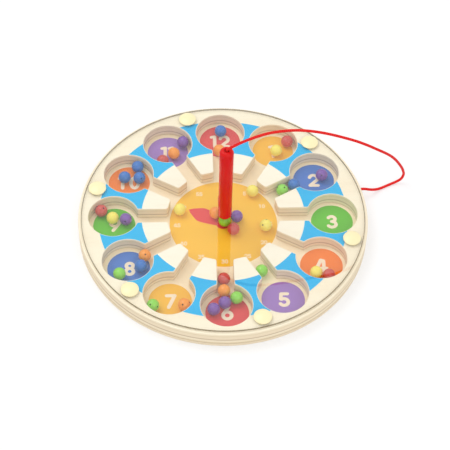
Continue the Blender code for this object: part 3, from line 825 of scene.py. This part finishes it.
def build_cover():
    """Build the clear sheet with its polished chamfer and its holes for the buttons."""
    rim = COVER_RADIUS - COVER_CHAMFER
    profile = [
        (rim, COVER_BOTTOM),
        (COVER_RADIUS, COVER_BOTTOM + COVER_CHAMFER),
        (COVER_RADIUS, COVER_TOP - COVER_CHAMFER),
        (rim, COVER_TOP),
    ]
    blank = turned_mesh("cover_sheet", profile, BOARD_STEPS)
    sheet = carve(blank, shank_hole_cutters(COVER_BOTTOM - CUT_OVERRUN, COVER_TOP + CUT_OVERRUN))
    add_piece("cover_sheet", sheet, cover_material(), BOARD, ["clear_cover"])


def button_profile():
    """Give a button's profile: a shank under a low domed head with a softened edge."""
    soft = BUTTON_SOFTNESS
    head_bottom = COVER_TOP + SEAT_GAP / 5
    rim_top = head_bottom + BUTTON_RIM_HEIGHT
    dome_height = BUTTON_TOP - rim_top
    sphere_radius = (BUTTON_RADIUS**2 + dome_height**2) / (2 * dome_height)
    sphere_centre = (0, BUTTON_TOP - sphere_radius)
    edge_angle = math.acos((BUTTON_RADIUS - soft / 2) / sphere_radius)
    dome = arc_points(sphere_centre, sphere_radius, edge_angle, QUARTER, 4 * ROUNDING_STEPS)
    return [
        (0, SHANK_BOTTOM),
        (SHANK_RADIUS - SHANK_CHAMFER, SHANK_BOTTOM),
        (SHANK_RADIUS, SHANK_BOTTOM + SHANK_CHAMFER),
        (SHANK_RADIUS, head_bottom),
        (BUTTON_RADIUS - soft, head_bottom),
        (BUTTON_RADIUS, head_bottom + soft),
        (BUTTON_RADIUS, rim_top - soft / 2),
        *dome[:-1],
        (0, BUTTON_TOP),
    ]


def build_buttons():
    """Build the six domed buttons round the cover's edge."""
    cream = moulded_material("button_cream", BUTTON_CREAM, 0.34, 0.02)
    mesh = turned_mesh("cover_dome", button_profile(), 2 * SMALL_STEPS)
    for number, hour in enumerate(BUTTON_HOURS, start=1):
        node = f"cover_button_{number}"
        place = hour_axes(hour)[0] * BUTTON_RING_RADIUS
        add_piece(f"cover_dome_{number}", mesh, cream, BOARD, [node], place)


# Numbers: each digit is a set of strokes in a box one high, as lists of points along the middle
# of the stroke.

STROKE_HALF = 0.105
STROKE_CORNER_DEGREES = 25
# The distance between the middles of two digits, in digit heights
DIGIT_STEP = 0.74
MINUTE_STEP = 0.66
CLOSE_STEPS = {"11": 0.44, "12": 0.61}
# How far to the right some numbers are printed off the middle of their discs, in metres
NUMBER_SHIFTS = {5: 0.0008, 7: 0.0006, 8: 0.0009, 9: 0.0004, 10: -0.0008, 11: 0.0005, 12: -0.0007}


def oval(centre, across, up, start, end, steps=18):
    """Give points along an oval arc, its angles in degrees."""
    return arc_points(centre, across, math.radians(start), math.radians(end), steps, up)


def digit_strokes(digit):
    """Give the strokes of a digit, whose middle is at x = 0."""
    low, high = STROKE_HALF, 1 - STROKE_HALF
    side = 0.238
    waist = 0.52
    upper_y, upper_up = (high + waist) / 2, (high - waist) / 2
    lower_y, lower_up = (waist + low) / 2, (waist - low) / 2
    ring_y = 0.34
    hook = oval((0, 0.655), side, high - 0.655, 165, -38)
    upper_bowl = oval((-0.01, upper_y), 0.205, upper_up, 150, -90)
    lower_bowl = oval((-0.01, lower_y), side, lower_up, 90, -150)
    deep_bowl = oval((-0.01, 0.335), side, 0.335 - low, 125, -150)
    ring = oval((0, ring_y), side, ring_y - low, 90, 450, 32)
    arm = [(-0.197, ring_y + 0.131), (0.085, high)]
    strokes = {
        "0": [oval((0, 0.5), 0.222, high - 0.5, 90, 450, 32)],
        "1": [[(-0.16, high - 0.045), (0.03, high), (0.03, low)]],
        "2": [[*hook, (-side + 0.01, low), (side + 0.005, low)]],
        "3": [[*upper_bowl, *lower_bowl[1:]]],
        "4": [
            [(-0.01, high), (-0.285, 0.315), (0.285, 0.315)],
            [(0, high), (0.135, high - 0.06), (0.135, low)],
        ],
        "5": [[(0.20, high), (-0.15, high), (-0.185, 0.545), *deep_bowl]],
        "6": [ring, arm],
        "7": [[(-0.225, high), (0.225, high), (-0.115, low)]],
        "8": [
            oval((0, upper_y), 0.19, upper_up, 90, 450, 28),
            oval((0, lower_y), 0.212, lower_up, 90, 450, 32),
        ],
        "9": [[(-x, 1 - y) for x, y in stroke] for stroke in (ring, arm)],
    }
    return strokes[digit]


def split_at_corners(points):
    """Split a stroke into smooth ones wherever it turns sharply."""
    pieces = [[points[0]]]
    for before, here, after in zip(points, points[1:], points[2:]):
        pieces[-1].append(here)
        way_in = Vector(here) - Vector(before)
        way_out = Vector(after) - Vector(here)
        if way_in.angle(way_out) > math.radians(STROKE_CORNER_DEGREES):
            pieces.append([here])
    pieces[-1].append(points[-1])
    return pieces


def stroke_mesh(points, scale, origin):
    """Make one stroke as a plate with round ends, or as a ring where its ends meet."""
    path = [Vector((origin[0] + x * scale, origin[1] + y * scale)) for x, y in points]
    half = STROKE_HALF * scale
    closed = (path[0] - path[-1]).length < half / 50
    if closed:
        path = path[:-1]
    left, right = shifted(path, -half, closed), shifted(path, half, closed)
    if closed:
        sides = ((left, MARK_BOTTOM), (right, MARK_BOTTOM), (right, MARK_TOP), (left, MARK_TOP))
        rows = [[(*point, height) for point in side] for side, height in sides]
        return lofted_mesh("stroke", rows, True)

    def cap(place, way):
        start = math.atan2(way.y, way.x) + QUARTER
        return arc_points(place, half, start, start - math.pi, CAP_STEPS)[1:-1]

    end_cap = cap(path[-1], path[-1] - path[-2])
    start_cap = cap(path[0], path[0] - path[1])
    outline = [*left, *end_cap, *reversed(right), *start_cap]
    return plate_mesh("stroke", reversed(outline), MARK_BOTTOM, MARK_TOP)


def digit_mesh(digit, height, origin):
    """Make one digit as a thin plate, its strokes joined."""
    strokes = []
    for points in digit_strokes(digit):
        strokes += [stroke_mesh(piece, height, origin) for piece in split_at_corners(points)]
    return carve(strokes[0], strokes[1:], "UNION") if len(strokes) > 1 else strokes[0]


def add_number(name, text, height, centre, ink, step_share=DIGIT_STEP):
    """Print a number on the floor, its digits side by side about the centre."""
    step = CLOSE_STEPS.get(text, step_share) * height
    bm = bmesh.new()
    for index, digit in enumerate(text):
        shift = (index - (len(text) - 1) / 2) * step
        part = digit_mesh(digit, height, (centre.x + shift, centre.y - height / 2))
        bm.from_mesh(part)
        bpy.data.meshes.remove(part)
    add_piece(name, mesh_from(name, bm), ink, BOARD)


def add_print(name, outline, ink, bottom=MARK_BOTTOM, top=MARK_TOP):
    """Print a flat shape on the floor."""
    add_piece(name, plate_mesh(name, outline, bottom, top), ink, BOARD)


def printed_place(hour, reach):
    """Give the place of a mark printed on the floor at a clock hour."""
    turn = Matrix.Rotation(math.radians(PRINT_TURN_DEGREES), 3, "Z")
    return turn @ (hour_axes(hour)[0] * reach) + PRINT_SHIFT


def build_number_discs():
    """Build the twelve printed discs and their numbers on the pockets' floors."""
    cream = print_material("print_cream", NUMERAL_CREAM, 0.95)
    inks = [print_material(f"print_{name}", tone) for name, tone in DISC_COLOURS.items()]
    for hour in range(1, HOUR_COUNT + 1):
        place = printed_place(hour, POCKET_RING_RADIUS)
        outline = circle(place, NUMBER_DISC_RADIUS, 2 * SMALL_STEPS)
        add_print(f"print_disc_{hour}", outline, inks[hour % len(inks)], BASE_TOP, PRINT_TOP)
        place.x += NUMBER_SHIFTS.get(hour, 0)
        add_number(f"print_number_{hour}", str(hour), NUMBER_HEIGHT, place, cream)


def leaf_outline(turn_degrees, length, half_widths):
    """Give the outline of a leaf-shaped hand from (share of length, half width) pairs."""
    turn = math.radians(turn_degrees)
    ahead = Vector((math.cos(turn), math.sin(turn))) * length
    left = Vector((-math.sin(turn), math.cos(turn)))
    pairs = [Vector(pair) for pair in half_widths]
    padded = [pairs[0], *pairs, pairs[-1]]
    upper = []
    for before, start, end, after in zip(padded, padded[1:], padded[2:], padded[3:]):
        third = (end.x - start.x) / 3
        first_handle = start + Vector((third, (end.y - before.y) / 6))
        last_handle = end - Vector((third, (after.y - start.y) / 6))
        upper += interpolate_bezier(start, first_handle, last_handle, end, LEAF_STEPS + 1)[:-1]
    right_side = [ahead * share - left * width for share, width in upper]
    left_side = [ahead * share + left * width for share, width in reversed(upper)]
    return [*right_side, ahead, *left_side]


def build_dial():
    """Build the orange dial in the middle, with its minute numbers and its two printed hands."""
    orange = print_material("print_dial", DIAL_ORANGE)
    red = print_material("print_hand", HAND_RED)
    cream = print_material("print_minutes", MINUTE_CREAM, 0.97)
    outline = circle(PRINT_SHIFT, DIAL_RADIUS, BOARD_STEPS)
    add_print("dial_disc", outline, orange, BASE_TOP, PRINT_TOP)
    for hand, shape in HANDS.items():
        add_print(f"dial_{hand}_hand", leaf_outline(*shape), red)
    add_print("dial_hub", circle((0, 0), HAND_HUB_RADIUS, 2 * SMALL_STEPS), red, BASE_TOP, HUB_TOP)
    for hour in range(1, HOUR_COUNT + 1):
        place = printed_place(hour, MINUTE_RING_RADIUS) + MINUTE_SHIFT
        text = "5" if hour == 1 else f"{5 * (hour % HOUR_COUNT):02d}"
        add_number(f"dial_minute_{hour}", text, MINUTE_HEIGHT, place, cream, MINUTE_STEP)


# Beads

BEADS_OF_A_COLOUR = 6
BEAD_TURN_SEED = 12
PIN_RADIUS = 0.0008
PIN_DEPTH = 0.0022
PIN_STEPS = 16
BEAD_STEPS = 56
SECOND_PIN_DEGREES = 75
# A face nearer to the bead's middle than this share of its radius is inside a pin hole.
BORE_SHARE = 0.985
# The pin holes' insides are painted at this share of the bead's colour, as painted shade in the
# holes
BORE_PAINTED_SHADE = 0.30
# Where the two pin holes lie on the beads that show them in the photograph, as shares of the
# bead's radius to the right and upwards in the picture
PIN_PLACES = {
    "bead_red_4": ((0.42, 0.41), (-0.60, 0.70)),
    "bead_purple_4": ((-0.04, -0.35), (0.80, 0.20)),
    "bead_orange_4": ((0.15, 0.17), (0.90, -0.20)),
    "bead_green_3": ((-0.35, 0.16), (0.74, -0.19)),
    "bead_orange_3": ((-0.25, 0.04), (0.84, 0.37)),
    "bead_purple_1": ((-0.07, -0.15), (0.58, -0.54)),
    "bead_green_1": ((-0.80, 0.46), (0.64, 0.25)),
    "bead_yellow_6": ((-0.52, 0.04), (0.10, 0.95)),
    "bead_blue_6": ((0.37, -0.15), (-0.10, -0.52)),
}


def bead_mesh(name):
    """Make a round bead with the two small pin holes that its mould leaves."""
    profile = arc_points((0, 0), BEAD_RADIUS, -QUARTER, QUARTER, BEAD_STEPS // 2)
    profile[0], profile[-1] = (0, -BEAD_RADIUS), (0, BEAD_RADIUS)
    bottom = math.sqrt(BEAD_RADIUS**2 - PIN_RADIUS**2) - PIN_DEPTH
    pins = []
    for degrees in (0, SECOND_PIN_DEGREES):
        pin = peg_mesh(PIN_RADIUS, bottom, BEAD_RADIUS + PIN_DEPTH, PIN_STEPS)
        pin.transform(Matrix.Rotation(math.radians(degrees), 4, "X"))
        pins.append(pin)
    ball = carve(turned_mesh(name, profile, BEAD_STEPS), pins)
    # Faces inside the pin holes take the second material, which paints shade into them.
    for face in ball.polygons:
        face.material_index = int(face.center.length < BEAD_RADIUS * BORE_SHARE)
    return ball


def bead_turn(node, chance):
    """Give a bead's turn: its pin holes face as in the photograph, or else away from it."""
    right, up, back = camera_axes()
    if node not in PIN_PLACES:
        spin = Matrix.Rotation(chance.uniform(0, FULL_TURN), 3, "Z")
        return (-back).to_track_quat("Z", "Y").to_matrix() @ spin
    ways = []
    for across, rise in PIN_PLACES[node]:
        depth = math.sqrt(max(0, 1 - across**2 - rise**2))
        ways.append((right * across + up * rise + back * depth).normalized())
    first, second = ways
    side = (second - first * second.dot(first)).normalized()
    return Matrix((first.cross(side), -side, first)).transposed()


def build_beads():
    """Build the thirty-six beads, each turned its own way."""
    chance = random.Random(BEAD_TURN_SEED)
    for colour, tone in sorted(BEAD_COLOURS.items()):
        mesh = bead_mesh(f"bead_ball_{colour}")
        mesh.materials.append(moulded_material(f"bead_{colour}_satin", tone, 0.28, 0.05))
        # The second material is the bead's colour darkened: painted shade for the pin holes.
        bore = moulded_material(f"bead_{colour}_bore", shaded(tone, BORE_PAINTED_SHADE), 0.6, 0.05)
        mesh.materials.append(bore)
        for number in range(1, BEADS_OF_A_COLOUR + 1):
            node = f"bead_{colour}_{number}"
            low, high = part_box(node)
            place = (Vector(low) + Vector(high)) / 2
            turn = bead_turn(node, chance).to_euler()
            add_piece(f"{node}_ball", mesh, None, node, [node], place, turn)


# The pen and its cord


def repaint(node, material):
    """Give a node of the frame its material."""
    holder = frame["nodes"][node]
    for part in [holder, *holder.children_recursive]:
        for part_slot in part.material_slots:
            part_slot.material = material


def build_pen():
    """Build the pen's barrel, and finish the plug and the magnet in its foot."""
    hole = CORD_HOLE_RADIUS
    soft = CORD_HOLE_ROUNDING
    bore = PEN_RADIUS - PEN_WALL
    ceiling = PEN_TOP - PEN_TOP_WALL
    top_centre = (PEN_RADIUS - PEN_TOP_ROUNDING, PEN_TOP - PEN_TOP_ROUNDING)
    foot_centre = (PEN_RADIUS - PEN_FOOT_ROUNDING, PEN_BOTTOM + PEN_FOOT_ROUNDING)
    profile = [(bore, PEN_BOTTOM)]
    profile += arc_points(foot_centre, PEN_FOOT_ROUNDING, -QUARTER, 0, ROUNDING_STEPS // 2)
    profile += arc_points(top_centre, PEN_TOP_ROUNDING, 0, QUARTER, 2 * ROUNDING_STEPS)
    profile += arc_points((hole + soft, PEN_TOP - soft), soft, QUARTER, 2 * QUARTER, ROUNDING_STEPS)
    profile += [(hole, ceiling), (bore, ceiling)]
    barrel = turned_mesh("pen_body", profile, 2 * SMALL_STEPS, True, PEN_PLACE.to_2d())
    gloss = pen_material()
    add_piece("pen_body", barrel, gloss, PEN, ["pen_barrel"])
    repaint("pen_foot_plug", gloss)
    repaint("pen_magnet", steel_material())
    # The anchor plug's dark red is red plastic with painted shade of its hole.
    repaint("cord_anchor_plug", moulded_material("anchor_red_with_shade", ANCHOR_RED_WITH_SHADE, 0.35, 0.06))


def smooth_route(points, spacing):
    """Read evenly spaced points from a smooth curve through the route's own points.

    The curve's length comes with them.
    """
    vectors = [Vector(point) for point in points]
    padded = [2 * vectors[0] - vectors[1], *vectors, 2 * vectors[-1] - vectors[-2]]
    fine = []
    for four in zip(padded, padded[1:], padded[2:], padded[3:]):
        knots = [0.0]
        for a, b in zip(four, four[1:]):
            knots.append(knots[-1] + math.sqrt((b - a).length))
        for step in range(ROUTE_STEPS):
            t = knots[1] + (knots[2] - knots[1]) * step / ROUTE_STEPS
            blend = four
            for span in (1, 2):
                shares = [(t - low) / (high - low) for low, high in zip(knots, knots[span:])]
                blend = [a.lerp(b, share) for a, b, share in zip(blend, blend[1:], shares)]
            fine.append(blend[0].lerp(blend[1], step / ROUTE_STEPS))
    fine.append(vectors[-1])
    travelled = [0.0]
    for a, b in zip(fine, fine[1:]):
        travelled.append(travelled[-1] + (b - a).length)
    count = round(travelled[-1] / spacing)
    even = []
    index = 0
    for step in range(count + 1):
        goal = travelled[-1] * step / count
        while index < len(fine) - 2 and travelled[index + 1] < goal:
            index += 1
        reach = travelled[index + 1] - travelled[index]
        even.append(fine[index].lerp(fine[index + 1], (goal - travelled[index]) / reach))
    return even, travelled[-1]


def braided_tube(name, path):
    """Make the cord round a path, its skin raised into a braid, with UVs that count the bumps."""
    bm = bmesh.new()
    layer = bm.loops.layers.uv.new("braid")
    normal = None
    rings = []
    lengths = [0.0]
    for index, place in enumerate(path):
        before = path[max(index - 1, 0)]
        after = path[min(index + 1, len(path) - 1)]
        tangent = (after - before).normalized()
        if normal is None:
            normal = tangent.orthogonal().normalized()
        else:
            lengths.append(lengths[-1] + (place - before).length)
        normal = (normal - tangent * normal.dot(tangent)).normalized()
        across = tangent.cross(normal)
        along = math.cos(FULL_TURN * lengths[-1] / BRAID_PITCH)
        ring = []
        for side in range(CORD_SIDES):
            angle = FULL_TURN * side / CORD_SIDES
            crest = (math.cos(BRAID_BUMPS_AROUND * angle) + along) / 4 + 0.5
            reach = CORD_DIAMETER / 2 + BRAID_DEPTH * crest
            point = place + (normal * math.cos(angle) + across * math.sin(angle)) * reach
            ring.append(bm.verts.new(point))
        rings.append(ring)
    for index, (near, far) in enumerate(zip(rings, rings[1:])):
        for side in range(CORD_SIDES):
            after = (side + 1) % CORD_SIDES
            face = bm.faces.new((near[side], near[after], far[after], far[side]))
            turns = (side, side + 1, side + 1, side)
            steps = (index, index, index + 1, index + 1)
            for loop, turn, step in zip(face.loops, turns, steps):
                around = BRAID_BUMPS_AROUND * turn / CORD_SIDES
                loop[layer].uv = (around, lengths[step] / BRAID_PITCH)
    bm.faces.new(list(reversed(rings[0])))
    bm.faces.new(rings[-1])
    return mesh_from(name, bm, CORD_SHARP_DEGREES)


def knot_path():
    """Give the path of the overhand knot inside the pen."""
    centre = (Vector(KNOT_LOW) + Vector(KNOT_HIGH)) / 2
    reach = (KNOT_HIGH[0] - KNOT_LOW[0] - CORD_DIAMETER) / 2 / 3
    rise = (KNOT_HIGH[2] - KNOT_LOW[2] - CORD_DIAMETER) / 2
    points = []
    for step in range(KNOT_STEPS + 1):
        turn = FULL_TURN * step / KNOT_STEPS * KNOT_ROUND
        x = math.sin(turn) + 2 * math.sin(2 * turn)
        y = math.cos(turn) - 2 * math.cos(2 * turn)
        points.append(centre + Vector((x * reach, y * reach, -math.sin(3 * turn) * rise)))
    return points


def build_cord():
    """Build the braided cord, and the knot that holds it in the pen."""
    braid = cord_material()
    path, length = smooth_route(CORD_ROUTE, CORD_RING_SPACING)
    mesh = braided_tube("cord_braid", path)
    cord = add_piece("cord_braid", mesh, braid, None, ["tether_cord"])
    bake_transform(cord)

    knot_mesh = braided_tube("cord_knot_turns", knot_path())
    knot = add_piece("cord_knot_turns", knot_mesh, braid, PEN, ["cord_knot"])


# The studio, in metres and watts

LAMPS = {"key_lamp": ((-0.62, 0.45, 1.55), 8.0), "fill_lamp": ((0.5, -1.0, 1.1), 3.3)}
LAMP_SIZE = 0.9
ROOM_STRENGTH = 0.81
PAGE_SHARE = 0.52
PAGE_TONE = (0.985, 0.985, 0.990)
PAGE_TONE_DEEP = (0.975, 0.975, 0.980)
FLOOR_REACH = 3.0
FLOOR_HEIGHT = -0.00005


def seen_directly(tree):
    """Give one for rays that show a thing itself, straight, in gloss or through glass."""
    rays = add_node(tree, "ShaderNodeLightPath").outputs
    seen = maths(tree, "MAXIMUM", rays["Is Camera Ray"], rays["Is Glossy Ray"])
    return maths(tree, "MAXIMUM", seen, rays["Is Transmission Ray"])


def add_lamp(name, place, watts):
    """Add a soft square lamp that faces the tray."""
    data = bpy.data.lights.new(name, "AREA")
    data.shape = "SQUARE"
    data.size = LAMP_SIZE
    data.energy = watts
    lamp = put(name, data)
    lamp.location = place
    lamp.rotation_euler = (CAMERA_TARGET - Vector(place)).to_track_quat("-Z", "Y").to_euler()


def build_studio():
    """Build the white floor, the white room and the soft lamps."""
    material, tree, coords = new_material("studio_floor")
    tone = blend_colours(tree, noise(tree, coords, 3.0), PAGE_TONE, PAGE_TONE_DEEP)
    feed(material, Base_Color=tone, Roughness=0.9, Specular_IOR_Level=0.0)
    # The page is white to the eye and in gloss, and keeps a faint share of the tray's shadow.
    page = add_node(tree, "ShaderNodeEmission", {"Color": WHITE, "Strength": 1.0})
    share = maths(tree, "MULTIPLY", seen_directly(tree), PAGE_SHARE)
    show(tree, mix_shaders(tree, share, tree.nodes["Principled BSDF"], page))
    low, high, level = -FLOOR_REACH, FLOOR_REACH, FLOOR_HEIGHT
    corners = [(low, low, level), (high, low, level), (high, high, level), (low, high, level)]
    mesh = bpy.data.meshes.new("studio_floor")
    mesh.from_pydata(corners, [], [(0, 1, 2, 3)])
    mesh.materials.append(material)
    put("studio_floor", mesh)

    world = bpy.data.worlds.new("studio_room")
    bpy.context.scene.world = world
    world.use_nodes = True
    tree = world.node_tree
    background = tree.nodes["Background"]
    fill(tree, background.inputs["Color"], WHITE)
    seen = seen_directly(tree)
    strength = maths(tree, "MULTIPLY_ADD", seen, 1.0 - ROOM_STRENGTH, ROOM_STRENGTH)
    fill(tree, background.inputs["Strength"], strength)

    for name, (place, watts) in LAMPS.items():
        add_lamp(name, place, watts)
    bpy.context.scene.view_settings.view_transform = "Standard"


set_camera()
build_cord()
build_tray()
build_number_discs()
build_dial()
build_beads()
build_cover()
build_buttons()
build_pen()
build_studio()
